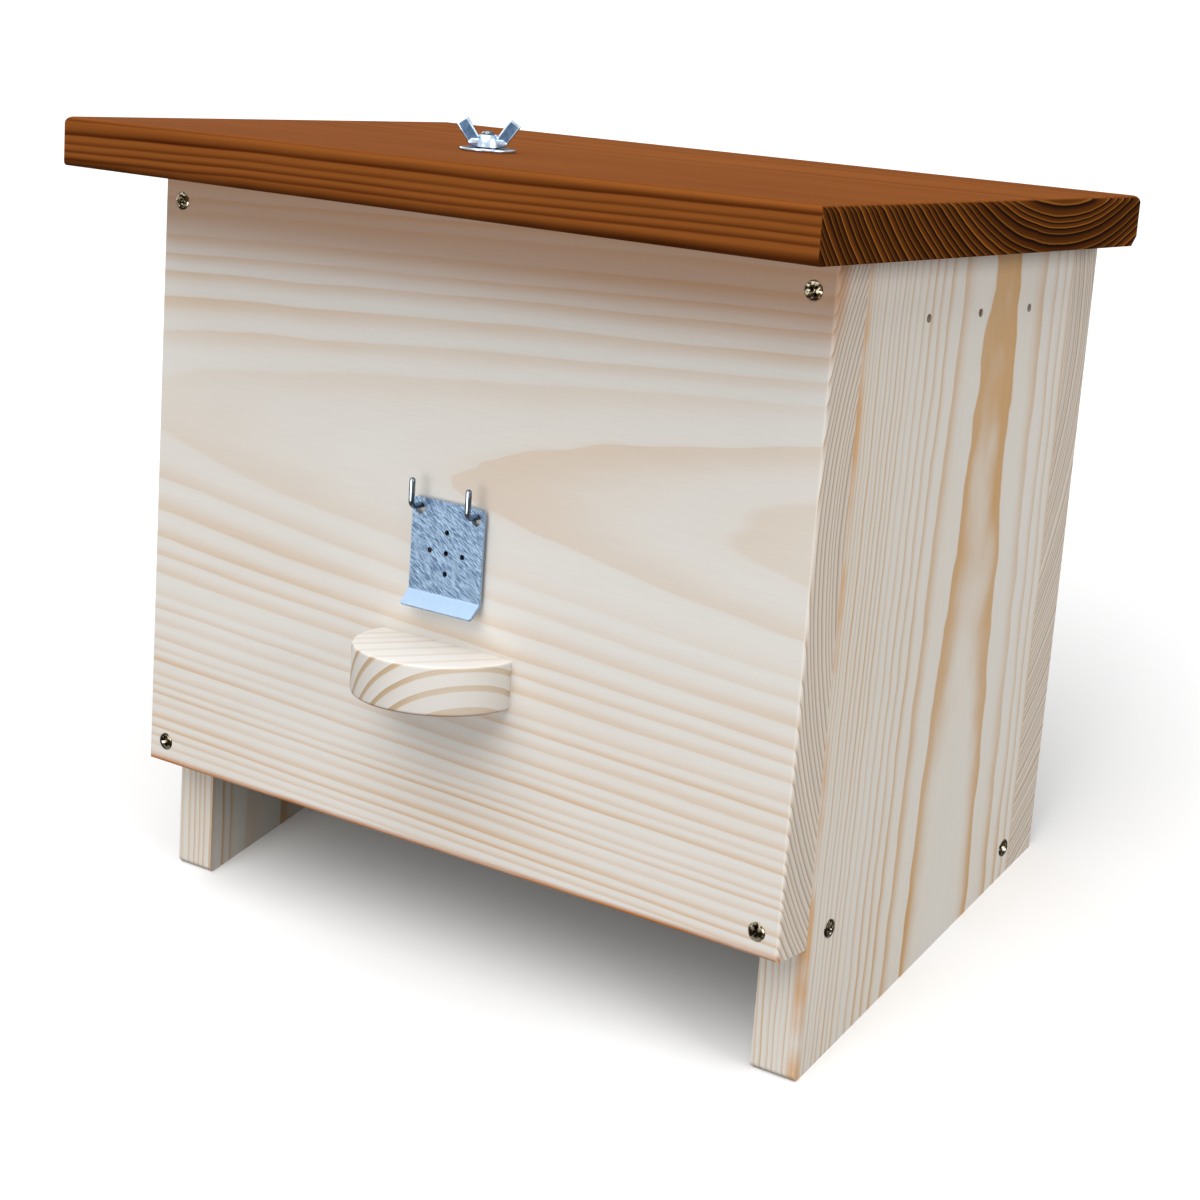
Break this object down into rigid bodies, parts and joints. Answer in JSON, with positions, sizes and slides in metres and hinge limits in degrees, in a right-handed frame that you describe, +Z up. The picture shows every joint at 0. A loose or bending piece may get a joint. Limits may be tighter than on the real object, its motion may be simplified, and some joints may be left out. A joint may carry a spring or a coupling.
{
  "type": "bumblebee nest box",
  "caption": "Leaning softwood nest box on side-wall legs, with a stained bolted roof, a round entrance behind a hanging metal flap, a landing board and a cardboard nest carton inside.",
  "frame": {"origin": "on the ground under the middle of the whole nest box", "axes": "+Z up from the ground, +X to the right seen from the front, +Y from the front panel to the back; the box leans back 16.6 degrees on its slanted feet"},
  "size_m": [0.33, 0.2578, 0.3024],
  "materials": {
    "spruce": "planed, untreated",
    "landing_spruce": "sanded, untreated",
    "stained_spruce": "brown glaze, satin",
    "zinc_screws": "yellow zinc",
    "plated_wire": "bright zinc",
    "bright_zinc": "bright zinc",
    "galvanised_sheet": "galvanised, lightly scratched",
    "corrugated_board": "kraft brown"
  },
  "bodies": {
    "box": {"front_panel": "spruce", "back_panel": "spruce", "left_side_wall": "spruce", "right_side_wall": "spruce", "floor_board": "spruce", "roof_rail": "spruce", "landing_board": "landing_spruce", "front_panel_screws": "zinc_screws", "back_panel_screws": "zinc_screws", "floor_screws_left": "zinc_screws", "floor_screws_right": "zinc_screws", "landing_board_screws": "zinc_screws", "roof_rail_screws": "zinc_screws", "left_flap_hook": "plated_wire", "right_flap_hook": "plated_wire", "roof_bolt": "bright_zinc", "nest_carton": "corrugated_board", "nest_carton_lid": "corrugated_board"},
    "roof": {"roof_board": "stained_spruce"},
    "washer": {"roof_washer": "bright_zinc"},
    "nut": {"wing_nut": "bright_zinc"},
    "flap": {"entrance_flap": "galvanised_sheet"}
  },
  "joints": [
    {"name": "flap_swing", "type": "hinge", "parent": "box", "child": "flap", "pos_m": [0, -0.07815, 0.17499], "axis": [-1, 0, 0], "range_deg": [0, 45]},
    {"name": "roof_lift", "type": "slide", "parent": "box", "child": "roof", "axis": [0, 0.286, 0.9582], "range_m": [0, 0.12]},
    {"name": "washer_turn", "type": "hinge", "parent": "roof", "child": "washer", "pos_m": [-0.016, -0.01569, 0.2846], "axis": [0, 0.286, 0.9582], "range_deg": [0, 3240]},
    {"name": "nut_rise", "type": "slide", "parent": "washer", "child": "nut", "axis": [0, 0.286, 0.9582], "range_m": [0, 0.0072]}
  ],
  "couplings": [
    {"joint": "nut_rise", "follows": "washer_turn", "m_per_rad": 0.00012732}
  ]
}
